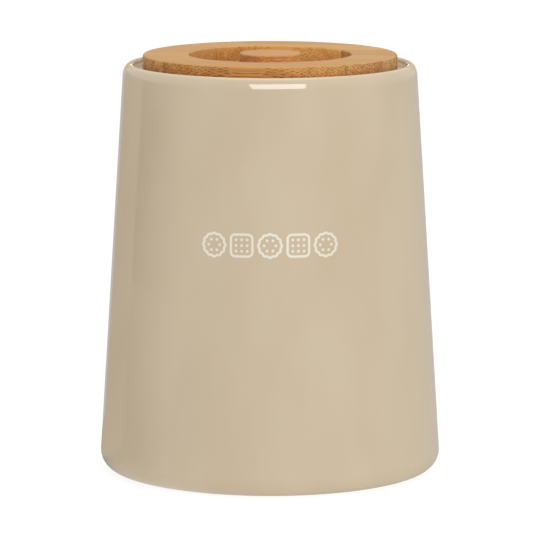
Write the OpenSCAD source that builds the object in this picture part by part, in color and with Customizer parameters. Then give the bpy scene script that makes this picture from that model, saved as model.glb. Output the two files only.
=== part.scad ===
// Biscuit canister: a tapered, glazed ceramic body closed by a laminated bamboo lid.
// The lid drops into a gallery inside the rim, where its plug and seal sit in the throat.
// Millimetres, +Z up, with the origin at the middle of the foot.

/* [Canister] */
// Radius of the wall's outer line where it would meet the table
foot_radius = 81.9; // [76:0.1:92]
// Radius of the wall's outer line at the height of the rim
rim_radius = 69.75; // [66:0.05:78]
// Height of the rim above the table
rim_height = 195; // [150:1:240]
// Thickness of the ceramic wall
wall_thickness = 5; // [3.5:0.1:6.5]
// Thickness of the floor
floor_thickness = 5; // [4:0.1:9]
// Rounding of the outer edge at the base
base_rounding = 9; // [3:0.1:11]
// Rounding of the inner corner at the floor
floor_rounding = 10; // [4:0.5:16]
// Width of the ring that stands on the table
foot_ring_width = 7; // [4:0.5:12]
// Depth of the hollow inside the foot ring
foot_hollow = 1.5; // [0.8:0.1:3]

/* [Mouth] */
// Width of the rim, from the outer line of the wall to the wall of the gallery
rim_width = 4.55; // [4.5:0.05:6]
// Width of the rounding on the rim's outer edge
rim_rounding_width = 3.1; // [1.5:0.1:3.1]
// Height of the rounding on the rim's outer edge
rim_rounding_height = 5.5; // [1.5:0.1:8]
// Rounding of the rim's inner edge
rim_inner_rounding = 1.2; // [0.6:0.1:1.3]
// Depth of the gallery ledge below the rim
ledge_drop = 2.6; // [2:0.1:6]
// Rounding where the gallery wall meets the ledge
gallery_rounding = 0.9; // [0.3:0.1:1]
// Width of the ledge that the lid rests on
ledge_bearing = 5.5; // [4:0.1:8]
// Height of the throat wall below the ledge
throat_height = 8; // [7:0.1:14]
// Rounding of the throat's upper and lower edges
throat_rounding = 1; // [0.4:0.1:1.6]
// Rounding under the shelf, where it meets the wall
shelf_rounding = 5; // [2:0.5:6]

/* [Lid ring] */
// Gap all round between the lid and the gallery wall
lid_gap = 4.7; // [1.5:0.1:6]
// Thickness of the upper ply
ring_thickness = 7; // [5:0.1:12]
// Width of the ring, from its edge to the finger recess
ring_width = 21.9; // [14:0.1:30]
// Rounding of the ring's top edges
ring_rounding = 0.9; // [0.3:0.1:1.5]
// Number of bamboo strips in the ring
ring_strips = 6; // [4:1:7]
// Width of wood between the finger recess and the joint line in front of it
front_web = 3.7; // [1.2:0.1:8]
// Depth of the back strip, from its joint line to the ring's edge
back_strip_depth = 14.8; // [8:0.1:18]
// Direction of the ring's strips, turned from +X
strip_angle = -10; // [-45:1:45]

/* [Lid plug] */
// Gap all round between the plug and the throat
plug_gap = 2.5; // [1.5:0.1:4]
// Thickness of the lower ply
plug_thickness = 9; // [8.5:0.1:16]
// Bevel of the plug's lower edge
plug_bevel = 1.2; // [0.4:0.1:1.5]
// Number of bamboo strips in the plug
plug_strips = 5; // [3:2:5]

/* [Seal] */
// Height of the seal and of its groove
seal_height = 4.6; // [3.6:0.1:5]
// Depth of the groove in the plug
seal_groove_depth = 2.5; // [1.5:0.1:4]
// Distance of the groove below the plug's top face
seal_drop = 1.8; // [1.2:0.1:2.2]
// Thickness of one lip of the seal at its root
seal_lip = 1.2; // [0.8:0.1:1.5]
// Gap between the relaxed lips and the throat
seal_gap = 0.3; // [0.2:0.05:0.6]
// Room between the seal and the bottom of its groove
seal_room = 0.1; // [0.05:0.05:0.3]

/* [Knob] */
// Radius of the knob
knob_radius = 14.6; // [10:0.1:20]
// Height of the knob's top above the ring's top
knob_rise = 0.6; // [0:0.1:4]
// Rounding of the knob's top edge
knob_rounding = 1; // [0.4:0.1:2]
// Radius of the tenon under the knob
tenon_radius = 6; // [4:0.5:9]
// Length of the tenon
tenon_length = 5; // [3:0.5:6.5]
// Room for glue around the tenon and under its end
glue_room = 0.1; // [0.05:0.05:0.3]

/* [Hidden] */
ceramic_colour = [0.80, 0.74, 0.64];
ring_colour = [0.80, 0.65, 0.47];
plug_colour = [0.74, 0.57, 0.38];
knob_colour = [0.76, 0.58, 0.39];
seal_colour = [0.90, 0.90, 0.88];
arc_steps = 10;
$fn = 128;

// Heights
ledge_z = rim_height - ledge_drop;
shelf_z = ledge_z - throat_height;
floor_z = foot_hollow + floor_thickness;
ring_top_z = ledge_z + ring_thickness;
plug_bottom_z = ledge_z - plug_thickness;
groove_top_z = ledge_z - seal_drop;
groove_bottom_z = groove_top_z - seal_height;
knob_top_z = ring_top_z + knob_rise;

// Radii
gallery_radius = rim_radius - rim_width;
lid_radius = gallery_radius - lid_gap;
throat_radius = lid_radius - ledge_bearing;
plug_radius = throat_radius - plug_gap;
recess_radius = lid_radius - ring_width;
groove_radius = plug_radius - seal_groove_depth;
seal_radius = throat_radius - seal_gap;

// Joint lines of the strips, with those of the ring spaced evenly from the first to the last
first_joint = -recess_radius - front_web;
last_joint = lid_radius - back_strip_depth;
ring_strip_width = (last_joint - first_joint) / (ring_strips - 2);
plug_strip_width = 2 * plug_radius / plug_strips;

// The wall leans in by this angle
wall_lean = atan2(foot_radius - rim_radius, rim_height);

RING_NAMES = [for (i = [1 : ring_strips]) str("lid_ring_strip_", i)];
PLUG_NAMES = [for (i = [1 : plug_strips]) str("lid_plug_strip_", i)];

// Radius of the wall's outer line at a height
function outer_radius(z) = foot_radius + (rim_radius - foot_radius) * z / rim_height;

// Radius of the line that lies a distance inside the outer line
function inset_radius(z, depth) = outer_radius(z) - depth / cos(wall_lean);

// Points of an arc in the plane of radius and height
function arc(centre, radius, from, to) = [
    for (i = [0 : arc_steps])
        let (angle = from + (to - from) * i / arc_steps)
        centre + radius * [cos(angle), sin(angle)]
];

// Points of a quarter ellipse that rounds a corner between two points on its sides
function bend(from, corner, to) =
    let (centre = from + to - corner)
    [
        for (i = [0 : arc_steps])
            let (angle = 90 * i / arc_steps)
            centre + (from - centre) * cos(angle) + (to - centre) * sin(angle)
    ];

// Underside, rounded base and rounded rim of the canister
function outer_outline() =
    let (
        base_centre = [inset_radius(base_rounding, base_rounding), base_rounding],
        foot_inner = base_centre.x - foot_ring_width,
        bend_z = rim_height - rim_rounding_height,
        bend_width = min(rim_rounding_width, rim_width - rim_inner_rounding)
    )
    concat(
        [[0, foot_hollow], [foot_inner - foot_hollow, foot_hollow], [foot_inner, 0]],
        arc(base_centre, base_rounding, -90, wall_lean),
        bend(
            [outer_radius(bend_z), bend_z],
            [rim_radius, rim_height],
            [rim_radius - bend_width, rim_height]
        )
    );

// Gallery, ledge and throat, from the rim down to the shelf's underside
function mouth_outline() =
    let (
        inner_z = rim_height - rim_inner_rounding,
        inner_centre = [gallery_radius + rim_inner_rounding, inner_z],
        gallery_centre = [gallery_radius - gallery_rounding, ledge_z + gallery_rounding],
        edge_radius = throat_radius + throat_rounding
    )
    concat(
        arc(inner_centre, rim_inner_rounding, 90, 180),
        arc(gallery_centre, gallery_rounding, 0, -90),
        arc([edge_radius, ledge_z - throat_rounding], throat_rounding, 90, 180),
        arc([edge_radius, shelf_z + throat_rounding], throat_rounding, 180, 270)
    );

// Inside of the wall and the floor
function inner_outline() =
    let (
        shelf_centre_z = shelf_z - shelf_rounding,
        shelf_inset = wall_thickness + shelf_rounding,
        floor_centre_z = floor_z + floor_rounding,
        floor_inset = wall_thickness + floor_rounding
    )
    concat(
        arc([inset_radius(shelf_centre_z, shelf_inset), shelf_centre_z], shelf_rounding, 90, wall_lean),
        arc([inset_radius(floor_centre_z, floor_inset), floor_centre_z], floor_rounding, wall_lean, -90),
        [[0, floor_z]]
    );

// Ceramic body, one piece
module canister() {
    color(ceramic_colour)
        rotate_extrude()
            polygon(concat(outer_outline(), mouth_outline(), inner_outline()));
}

// The whole upper ply, with the finger recess through it
module ring_blank() {
    round_z = ring_top_z - ring_rounding;
    outer_centre = [lid_radius - ring_rounding, round_z];
    recess_centre = [recess_radius + ring_rounding, round_z];
    rotate_extrude()
        polygon(concat(
            [[recess_radius, ledge_z], [lid_radius, ledge_z]],
            arc(outer_centre, ring_rounding, 0, 90),
            arc(recess_centre, ring_rounding, 90, 180)
        ));
}

// The whole lower ply, with the seal's groove and the bore for the knob's tenon
module plug_blank() {
    bore_depth = tenon_length + glue_room;
    difference() {
        rotate_extrude()
            polygon([
                [0, plug_bottom_z],
                [plug_radius - plug_bevel, plug_bottom_z],
                [plug_radius, plug_bottom_z + plug_bevel],
                [plug_radius, groove_bottom_z],
                [groove_radius, groove_bottom_z],
                [groove_radius, groove_top_z],
                [plug_radius, groove_top_z],
                [plug_radius, ledge_z],
                [0, ledge_z]
            ]);
        translate([0, 0, ledge_z - bore_depth])
            cylinder(r = tenon_radius + glue_room, h = bore_depth + plug_thickness);
    }
}

// What one strip keeps of a blank: a slab along +X between two joint lines
module strip_slab(from, to) {
    length = 4 * lid_radius;
    bottom = plug_bottom_z - plug_thickness;
    translate([-length / 2, from, bottom])
        cube([length, to - from, ring_top_z + ring_thickness - bottom]);
}

// One strip of the ring, counted from the front; the end strips run out to the edge
module ring_strip(index) {
    past_edge = 2 * lid_radius;
    from = index == 1 ? -past_edge : first_joint + ring_strip_width * (index - 2);
    to = index == ring_strips ? past_edge : first_joint + ring_strip_width * (index - 1);
    color(ring_colour)
        intersection() {
            ring_blank();
            rotate(strip_angle)
                strip_slab(from, to);
        }
}

// One strip of the plug, laid across those of the ring
module plug_strip(index) {
    past_edge = 2 * plug_radius;
    from = index == 1 ? -past_edge : plug_strip_width * (index - 1) - plug_radius;
    to = index == plug_strips ? past_edge : plug_strip_width * index - plug_radius;
    color(plug_colour)
        intersection() {
            plug_blank();
            rotate(strip_angle + 90)
                strip_slab(from, to);
        }
}

// Turned knob with its tenon
module lid_knob() {
    top_centre = [knob_radius - knob_rounding, knob_top_z - knob_rounding];
    color(knob_colour)
        rotate_extrude()
            polygon(concat(
                [
                    [0, ledge_z - tenon_length],
                    [tenon_radius, ledge_z - tenon_length],
                    [tenon_radius, ledge_z],
                    [knob_radius, ledge_z]
                ],
                arc(top_centre, knob_rounding, 0, 90),
                [[0, knob_top_z]]
            ));
}

// Silicone ring with two lips that point at the throat
module lid_seal() {
    inner = groove_radius + seal_room;
    web = (seal_height - 2 * seal_lip) / 3;
    lip_bottoms = [groove_bottom_z + web, groove_bottom_z + 2 * web + seal_lip];
    color(seal_colour)
        rotate_extrude()
            polygon(concat(
                [[inner, groove_bottom_z], [plug_radius, groove_bottom_z]],
                [
                    for (bottom = lip_bottoms)
                        each [
                            [plug_radius, bottom],
                            [seal_radius, bottom + seal_lip / 2],
                            [seal_radius, bottom + seal_lip],
                            [plug_radius, bottom + seal_lip]
                        ]
                ],
                [[plug_radius, groove_top_z], [inner, groove_top_z]]
            ));
}

canister();
for (i = [1 : ring_strips])
    ring_strip(i);
for (i = [1 : plug_strips])
    plug_strip(i);
lid_knob();
lid_seal();
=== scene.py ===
# %% [markdown]
# # A glazed biscuit canister with a bamboo lid
# The canister is slip-cast clay under a glossy beige glaze. Its lid is glued up from bamboo strips, turned
# round, and carries a silicone seal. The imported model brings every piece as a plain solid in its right
# place. Each one is made again here with finer curves and a finish of its own, at the same size, and rides
# on the body that moves it.

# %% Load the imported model
from math import atan, ceil, cos, degrees, pi, radians, sin

import bmesh
import bpy
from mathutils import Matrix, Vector


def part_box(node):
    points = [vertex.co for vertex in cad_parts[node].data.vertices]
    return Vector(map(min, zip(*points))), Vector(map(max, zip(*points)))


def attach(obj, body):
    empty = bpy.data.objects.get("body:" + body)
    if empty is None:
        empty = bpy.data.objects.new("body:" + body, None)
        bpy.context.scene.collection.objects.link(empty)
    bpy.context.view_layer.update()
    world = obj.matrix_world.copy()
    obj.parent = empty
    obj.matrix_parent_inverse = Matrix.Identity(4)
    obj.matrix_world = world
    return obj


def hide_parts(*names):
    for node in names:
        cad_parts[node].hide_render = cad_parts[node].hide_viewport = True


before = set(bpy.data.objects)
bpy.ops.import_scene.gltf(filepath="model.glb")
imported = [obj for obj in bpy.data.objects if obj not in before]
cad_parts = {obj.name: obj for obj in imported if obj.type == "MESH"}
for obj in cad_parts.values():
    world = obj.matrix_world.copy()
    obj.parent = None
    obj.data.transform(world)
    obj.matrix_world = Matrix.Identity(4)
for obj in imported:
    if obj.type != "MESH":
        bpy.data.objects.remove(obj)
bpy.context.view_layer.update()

scene = bpy.context.scene

# %% [markdown]
# ## Sizes
# Heights and radii that a packed box can tell are read from it, so that the scene follows the solids. What
# a box can't tell, such as a rounding or the thickness of a wall, is written here in millimetres, as on a
# drawing.

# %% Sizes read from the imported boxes
MM = 0.001
ring_nodes = [f"lid_ring_strip_{number}" for number in range(1, 7)]
plug_nodes = [f"lid_plug_strip_{number}" for number in range(1, 6)]


def stack_box(names):
    """Lowest height, highest height and radius of several nodes that lie round the axis."""
    boxes = [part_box(name) for name in names]
    lowest = min(low.z for low, high in boxes)
    highest = max(high.z for low, high in boxes)
    return lowest, highest, max(high.x for low, high in boxes)


_, rim_height, _ = stack_box(["canister"])
ledge_z, ring_top, lid_radius = stack_box(ring_nodes)
plug_bottom, plug_top, plug_radius = stack_box(plug_nodes)
tenon_bottom, knob_top, knob_radius = stack_box(["lid_knob"])
seal_bottom, seal_top, seal_radius = stack_box(["lid_seal"])
print(f"rim {rim_height / MM:.2f}, ledge {ledge_z / MM:.2f}, ring top {ring_top / MM:.2f} mm high")
print(f"radii: lid {lid_radius / MM:.2f}, plug {plug_radius / MM:.2f}, knob {knob_radius / MM:.2f} mm")

# %% Sizes of the ceramic
foot_radius = 81.9 * MM
rim_radius = 69.75 * MM
wall_thickness = 5 * MM
floor_thickness = 5 * MM
base_rounding = 9 * MM
floor_rounding = 10 * MM
foot_ring_width = 7 * MM
foot_hollow = 1.5 * MM
rim_width = 4.55 * MM
rim_rounding_width = 3.1 * MM
rim_rounding_height = 5.5 * MM
rim_inner_rounding = 1.2 * MM
gallery_rounding = 0.9 * MM
ledge_bearing = 5.5 * MM
throat_height = 8 * MM
throat_rounding = 1 * MM
shelf_rounding = 5 * MM

taper = (foot_radius - rim_radius) / rim_height
wall_lean = atan(taper)
gallery_radius = rim_radius - rim_width
throat_radius = lid_radius - ledge_bearing
shelf_z = ledge_z - throat_height
floor_z = foot_hollow + floor_thickness
print(f"the wall leans in by {degrees(wall_lean):.2f} degrees")

# %% Sizes of the lid
ring_width = 21.9 * MM
ring_rounding = 0.9 * MM
front_web = 3.7 * MM
back_strip_depth = 14.8 * MM
strip_turn = radians(-10)
plug_bevel = 1.2 * MM
groove_depth = 2.5 * MM
seal_room = 0.1 * MM
seal_lip = 1.2 * MM
seal_tip_rounding = 0.3 * MM
knob_rounding = 1 * MM
tenon_radius = 6 * MM
glue_room = 0.1 * MM

recess_radius = lid_radius - ring_width
first_joint = -recess_radius - front_web
last_joint = lid_radius - back_strip_depth
ring_pitch = (last_joint - first_joint) / (len(ring_nodes) - 2)
plug_pitch = 2 * plug_radius / len(plug_nodes)
groove_radius = plug_radius - groove_depth
print(f"ring strips {ring_pitch / MM:.1f} mm wide, plug strips {plug_pitch / MM:.1f} mm wide")

# %% [markdown]
# ## Camera
# The picture looks at the canister from the front, a little from above, through a long lens: the two sides
# of the lid's oval are nearly alike and the wall's lines hardly converge. A 304 mm lens from two metres
# away gives that.

# %% Camera
VIEW_PITCH = 8.69
LENS = 304
SENSOR_WIDTH = 36
CAMERA_PLACE = (0, -2.158, 0.4252)
camera_data = bpy.data.cameras.new("camera")
camera_data.lens = LENS
camera_data.sensor_width = SENSOR_WIDTH
camera = bpy.data.objects.new("camera", camera_data)
camera.location = CAMERA_PLACE
camera.rotation_euler = (radians(90 - VIEW_PITCH), 0, 0)
scene.collection.objects.link(camera)
scene.camera = camera
print("camera looks down by", VIEW_PITCH, "degrees")

# %% [markdown]
# ## Short words for nodes
# Every finish and every shape below is a small tree of nodes. Trees can be drawn by hand in the node
# editor; written down, they can be read and changed. These helpers add one node a line: a value that is a
# socket is linked, and any other value is set on the input.


# %% Helpers for node trees
def add(tree, kind, inputs=None, **settings):
    """Adds a node to a tree, with its settings and inputs."""
    made = tree.nodes.new(kind)
    for name, value in settings.items():
        setattr(made, name, value)
    for key, value in (inputs or {}).items():
        if isinstance(value, bpy.types.NodeSocket):
            tree.links.new(value, made.inputs[key])
        else:
            made.inputs[key].default_value = value
    return made


def calc(tree, operation, *values):
    """One Math node on numbers or sockets."""
    return add(tree, "ShaderNodeMath", dict(enumerate(values)), operation=operation).outputs[0]


def vector_calc(tree, operation, *values):
    """One Vector Math node on vectors or sockets."""
    return add(tree, "ShaderNodeVectorMath", dict(enumerate(values)), operation=operation).outputs[0]


def combine(tree, x, y, z):
    """A vector from three numbers or sockets."""
    return add(tree, "ShaderNodeCombineXYZ", {0: x, 1: y, 2: z}).outputs[0]


def split(tree, vector):
    """The three numbers of a vector."""
    return add(tree, "ShaderNodeSeparateXYZ", {0: vector}).outputs


def fade(tree, value, low, high, start=0.0, end=1.0):
    """Maps a value smoothly from the range low to high onto the range start to end."""
    inputs = {"Value": value, "From Min": low, "From Max": high, "To Min": start, "To Max": end}
    return add(tree, "ShaderNodeMapRange", inputs, interpolation_type="SMOOTHSTEP").outputs[0]


def new_tree(name, kind, inputs, outputs):
    """An empty node group; returns it with its input sockets and its output sockets."""
    tree = bpy.data.node_groups.new(name, kind)
    for side, sockets in (("INPUT", inputs), ("OUTPUT", outputs)):
        for label, socket_type in sockets.items():
            tree.interface.new_socket(label, in_out=side, socket_type="NodeSocket" + socket_type)
    return tree, tree.nodes.new("NodeGroupInput").outputs, tree.nodes.new("NodeGroupOutput").inputs


print("helpers for node trees ready")

# %% Helpers for patterns
MM_PER_METRE = 1000
NOISE_LOW = 0.3
NOISE_MIDDLE = 0.5
NOISE_HIGH = 0.7


def in_mm(tree, vector):
    """A vector in millimetres from one in metres."""
    return vector_calc(tree, "MULTIPLY", vector, (MM_PER_METRE,) * 3)


def object_mm(tree):
    """The place on the piece, in millimetres."""
    return in_mm(tree, add(tree, "ShaderNodeTexCoord").outputs["Object"])


def noise(tree, vector, scale, detail=2.0, roughness=0.5):
    """A soft noise between 0 and 1."""
    inputs = {"Vector": vector, "Scale": scale, "Detail": detail, "Roughness": roughness}
    return add(tree, "ShaderNodeTexNoise", inputs).outputs[0]


def spread(tree, soft_noise, start=0.0, end=1.0):
    """Spreads the part of a soft noise where most of it lies over a range."""
    return fade(tree, soft_noise, NOISE_LOW, NOISE_HIGH, start, end)


def cell_distance(tree, vector, scale, randomness=1.0, dimensions="3D"):
    """Distance to the middle of the nearest of many scattered cells."""
    inputs = {"Vector": vector, "Scale": scale, "Randomness": randomness}
    cells = add(tree, "ShaderNodeTexVoronoi", inputs, voronoi_dimensions=dimensions)
    return cells.outputs["Distance"]


print("helpers for patterns ready")


# %% Helpers for materials
def srgb(code):
    """A linear colour from a screen colour such as d0bfa5."""
    shades = [int(code[place:place + 2], 16) / 255 for place in (0, 2, 4)]
    linear = [s / 12.92 if s <= 0.04045 else ((s + 0.055) / 1.055) ** 2.4 for s in shades]
    return (*linear, 1.0)


def mix(tree, factor, first, second):
    """Mixes two colours."""
    return add(tree, "ShaderNodeMix", {0: factor, 6: first, 7: second}, data_type="RGBA").outputs[2]


def new_material(name):
    """A material with its tree, its Principled shader and its output already linked."""
    material = bpy.data.materials.new(name)
    material.use_nodes = True
    return material, material.node_tree, material.node_tree.nodes["Principled BSDF"]


def place_group(tree, group, inputs=None):
    """Places a shader node group in a material and returns its outputs."""
    return add(tree, "ShaderNodeGroup", inputs, node_tree=group).outputs


def bump(tree, shader, height, distance):
    """Feeds a height in 0 to 1 to a shader's normal, as relief of a real depth."""
    inputs = {"Height": height, "Distance": distance}
    tree.links.new(add(tree, "ShaderNodeBump", inputs).outputs[0], shader.inputs["Normal"])


print("helpers for materials ready")

# %% [markdown]
# ## Glaze skin
# A fired glaze is glass that has run: it is glossy, hardly rough, and carries slow ripples, a fine orange
# peel and a few pinholes. Sculpting them would take millions of faces, so they are relief in the material.
# The canister and its print share this skin, which makes it a node group. It works in millimetres on Object
# coordinates, which keeps the ripples the same size all over.

# %% Node group for the glaze skin
RIPPLES_PER_MM = 0.035
PEEL_PER_MM = 0.55
PEEL_SHARE = 0.06
CLOUDS_PER_MM = 0.028
CLOUD_STRETCH = (1, 1, 0.45)
PITS_PER_MM = 0.11
PIT_CORE = 0.012
PIT_EDGE = 0.03
PIT_SHARE = 0.25
GLAZE_GLOSSIEST = 0.03
GLAZE_DULLEST = 0.07
skin_group, _, skin_out = new_tree(
    "glaze_skin", "ShaderNodeTree", {}, {"Height": "Float", "Roughness": "Float", "Clouds": "Float"}
)
tree = skin_group
where_mm = object_mm(tree)
ripples = noise(tree, where_mm, RIPPLES_PER_MM, detail=1.0)
orange_peel = noise(tree, where_mm, PEEL_PER_MM, detail=1.0)
cloud_place = vector_calc(tree, "MULTIPLY", where_mm, CLOUD_STRETCH)
clouds = noise(tree, cloud_place, CLOUDS_PER_MM, detail=3.0)
pinholes = fade(tree, cell_distance(tree, where_mm, PITS_PER_MM), PIT_CORE, PIT_EDGE, 1.0, 0.0)
height = calc(tree, "MULTIPLY_ADD", orange_peel, PEEL_SHARE, ripples)
height = calc(tree, "MULTIPLY_ADD", pinholes, -PIT_SHARE, height)
tree.links.new(height, skin_out["Height"])
tree.links.new(spread(tree, clouds, GLAZE_GLOSSIEST, GLAZE_DULLEST), skin_out["Roughness"])
tree.links.new(clouds, skin_out["Clouds"])
print("glaze skin:", len(tree.nodes), "nodes")

# %% [markdown]
# ## Glaze and bisque
# The colour drifts by a few per cent, breaks a little lighter where the glaze thins over the rim, and shows
# fine iron specks. That lighter band on the rim also paints some of the highlight that the rim catches. The
# foot ring is wiped bare before firing, so that the canister doesn't stick to the kiln shelf: there the
# pale, dry clay shows. Two materials on two sets of faces would meet in a hard line. One material, divided
# by the height above the table, gives the uneven edge that a sponge leaves.

# %% Colours and sizes of the glaze
GLAZE = srgb("ccbb9f")
GLAZE_DEEP = srgb("c7b599")
GLAZE_THIN_AND_LIT = srgb("d8c8ac")
SPECK = srgb("9c8a6c")
BISQUE = srgb("d9cdb9")
GLAZE_IOR = 1.58
GLAZE_RELIEF = 0.12 * MM
THIN_AND_LIT_BAND_MM = 1.2
THIN_AND_LIT_SHARE = 0.6
SPECKS_PER_MM = 0.3
SPECK_CORE = 0.03
SPECK_EDGE = 0.07
SPECK_SHARE = 0.4
WIPES_PER_MM = 0.25
WIPE_START_MM = 0.1
WIPE_LOWEST_MM = 0.2
WIPE_RANGE_MM = 0.5
CLAY_GRAINS_PER_MM = 2.2
CLAY_GRAIN_SHARE = 0.5
BISQUE_ROUGHNESS = 0.75
print("glaze colour:", [round(part, 3) for part in GLAZE[:3]])

# %% Glaze material
glaze, tree, shader = new_material("beige_glaze")
skin = place_group(tree, skin_group)
where_mm = object_mm(tree)
height_mm = split(tree, where_mm)[2]
rim_mm = rim_height / MM
tone = mix(tree, spread(tree, skin["Clouds"]), GLAZE_DEEP, GLAZE)
# The glaze breaks lighter over the rim; this band also paints part of the rim's highlight
thin_and_lit_edge = fade(tree, height_mm, rim_mm - THIN_AND_LIT_BAND_MM, rim_mm, 0.0, THIN_AND_LIT_SHARE)
tone = mix(tree, thin_and_lit_edge, tone, GLAZE_THIN_AND_LIT)
speck_distance = cell_distance(tree, where_mm, SPECKS_PER_MM)
tone = mix(tree, fade(tree, speck_distance, SPECK_CORE, SPECK_EDGE, SPECK_SHARE, 0.0), tone, SPECK)
wipe_noise = noise(tree, where_mm, WIPES_PER_MM)
wiped_edge = calc(tree, "MULTIPLY_ADD", wipe_noise, WIPE_RANGE_MM, WIPE_LOWEST_MM)
bisque_mask = fade(tree, height_mm, WIPE_START_MM, wiped_edge, 1.0, 0.0)
clay_grain = noise(tree, where_mm, CLAY_GRAINS_PER_MM, detail=3.0)
clay = mix(tree, spread(tree, clay_grain, 0.0, CLAY_GRAIN_SHARE), BISQUE, GLAZE_DEEP)
tree.links.new(mix(tree, bisque_mask, tone, clay), shader.inputs["Base Color"])
rough = calc(tree, "MULTIPLY_ADD", bisque_mask, BISQUE_ROUGHNESS, skin["Roughness"])
tree.links.new(rough, shader.inputs["Roughness"])
shader.inputs["IOR"].default_value = GLAZE_IOR
bump(tree, shader, skin["Height"], GLAZE_RELIEF)
print("glaze material:", len(tree.nodes), "nodes")

# %% [markdown]
# ## Bamboo
# Bamboo is a grass: dark fibre bundles about a millimetre apart run the length of each strip through a
# pale, pithy ground. Sawn across, they are dots in staggered rows; sawn along, they are streaks; sawn at a
# slant, as on the round edge of the lid, they are flecks. A flat picture of grain shows only one of these.
# A pattern that fills space gives all three: cells laid out across the strip and drawn out twenty-five
# times along it. Where the fibres are cut across, the wood drinks more oil and turns darker. The group also
# draws the thin glue line at each joint.

# %% Node group for bamboo fibre: place and bundles
FIBRE_STRETCH = 0.04
STAGGER = radians(42)
WANDERS_PER_MM = 0.5
WANDER_MM = 1.6
BUNDLE_SCATTER = 0.5
BUNDLE_CORE = 0.12
BUNDLE_EDGE = 0.4


def spin(tree, vector, angle, axis):
    """Turns a vector about the X, Y or Z axis."""
    inputs = {"Vector": vector, "Angle": angle}
    return add(tree, "ShaderNodeVectorRotate", inputs, rotation_type=axis + "_AXIS").outputs[0]


fibre_group, fibre_in, fibre_out = new_tree(
    "bamboo_fibre",
    "ShaderNodeTree",
    {
        "Turn": "Float", "Seed": "Float", "Bundle": "Float", "Slope": "Float", "Low": "Float",
        "Joint": "Float", "Pitch": "Float", "Pale": "Color", "Dark": "Color",
    },
    {"Colour": "Color", "Roughness": "Float", "Height": "Float"},
)
tree = fibre_group
coordinates = add(tree, "ShaderNodeTexCoord").outputs
unturn = calc(tree, "MULTIPLY", fibre_in["Turn"], -1)
along, across, up = split(tree, in_mm(tree, spin(tree, coordinates["Object"], unturn, "Z")))
drawn_out = calc(tree, "MULTIPLY_ADD", along, FIBRE_STRETCH, fibre_in["Seed"])
drawn = combine(tree, drawn_out, calc(tree, "ADD", across, fibre_in["Seed"]), up)

# Bundles wander slowly from side to side, and stand in staggered rows
wander_inputs = {"Vector": drawn, "Scale": WANDERS_PER_MM, "Detail": 1.0}
wander_map = add(tree, "ShaderNodeTexNoise", wander_inputs).outputs["Color"]
wander = vector_calc(tree, "SUBTRACT", wander_map, (NOISE_MIDDLE,) * 3)
wander = vector_calc(tree, "MULTIPLY", wander, (0, WANDER_MM, WANDER_MM))
strayed = vector_calc(tree, "ADD", drawn, wander)
_, row_across, row_up = split(tree, spin(tree, strayed, STAGGER, "X"))
bundle_place = combine(tree, row_across, row_up, 0)
bundles_per_mm = calc(tree, "DIVIDE", 1, fibre_in["Bundle"])
bundle_distance = cell_distance(tree, bundle_place, bundles_per_mm, BUNDLE_SCATTER, "2D")
bundle = fade(tree, bundle_distance, BUNDLE_CORE, BUNDLE_EDGE, 1.0, 0.0)
print("fibre bundles:", len(tree.nodes), "nodes so far")

# %% Node group for bamboo fibre: share of the dark tone
HAIRS_PER_MM = (1.0, 3.5, 3.5)
HAIR_LOW = 0.42
HAIR_HIGH = 0.75
HAIR_SHARE = 0.35
DRIFTS_PER_MM = 0.3
DRIFT_PALEST = -0.14
DRIFT_DARKEST = 0.16
TOP_START = 0.35
TOP_FULL = 0.95
SIDE_BUNDLE_SHARE = 0.72
TOP_BUNDLE_SHARE = 0.27
TOP_PALER = 0.1
END_GRAIN_SHARE = 0.16
SHADE_BAND_MM = 5.0
LOW_SHADE_SHARE = 0.28

# The top shows fewer bundles than the sides, as a sanded face and as painted light; fine fibres lie between
facing_up = fade(tree, split(tree, coordinates["Normal"])[2], TOP_START, TOP_FULL)
share_lost = TOP_BUNDLE_SHARE - SIDE_BUNDLE_SHARE
bundle_share = calc(tree, "MULTIPLY_ADD", facing_up, share_lost, SIDE_BUNDLE_SHARE)
bundle_share = calc(tree, "MULTIPLY", bundle, bundle_share)
hair_place = vector_calc(tree, "MULTIPLY", strayed, HAIRS_PER_MM)
hairs = noise(tree, hair_place, scale=1.0, detail=3.0, roughness=0.6)
dark_share = calc(tree, "MAXIMUM", bundle_share, fade(tree, hairs, HAIR_LOW, HAIR_HIGH, 0.0, HAIR_SHARE))

# The tone drifts slowly over the strip, and a slope from one end to the other paints side light and shade
drift = spread(tree, noise(tree, drawn, DRIFTS_PER_MM), DRIFT_PALEST, DRIFT_DARKEST)
dark_share = calc(tree, "ADD", dark_share, drift)
# Painted light and shade from the side: one end of each piece darker, the other paler
dark_share = calc(tree, "MULTIPLY_ADD", along, fibre_in["Slope"], dark_share)

# Cut ends of fibres are darker, the lower side takes painted shade, and the sanded top takes painted light
cut_across = calc(tree, "ABSOLUTE", split(tree, spin(tree, coordinates["Normal"], unturn, "Z"))[0])
dark_share = calc(tree, "MULTIPLY_ADD", cut_across, END_GRAIN_SHARE, dark_share)
# Painted shade over the lowest few millimetres of each piece, where it sits down in what holds it
above_low = calc(tree, "SUBTRACT", up, fibre_in["Low"])
dark_share = calc(tree, "ADD", dark_share, fade(tree, above_low, 0.0, SHADE_BAND_MM, LOW_SHADE_SHARE, 0.0))
dark_share = calc(tree, "MULTIPLY_ADD", facing_up, -TOP_PALER, dark_share)
dark_share = calc(tree, "MINIMUM", calc(tree, "MAXIMUM", dark_share, 0.0), 1.0)
print("share of the dark tone:", len(tree.nodes), "nodes so far")

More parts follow.
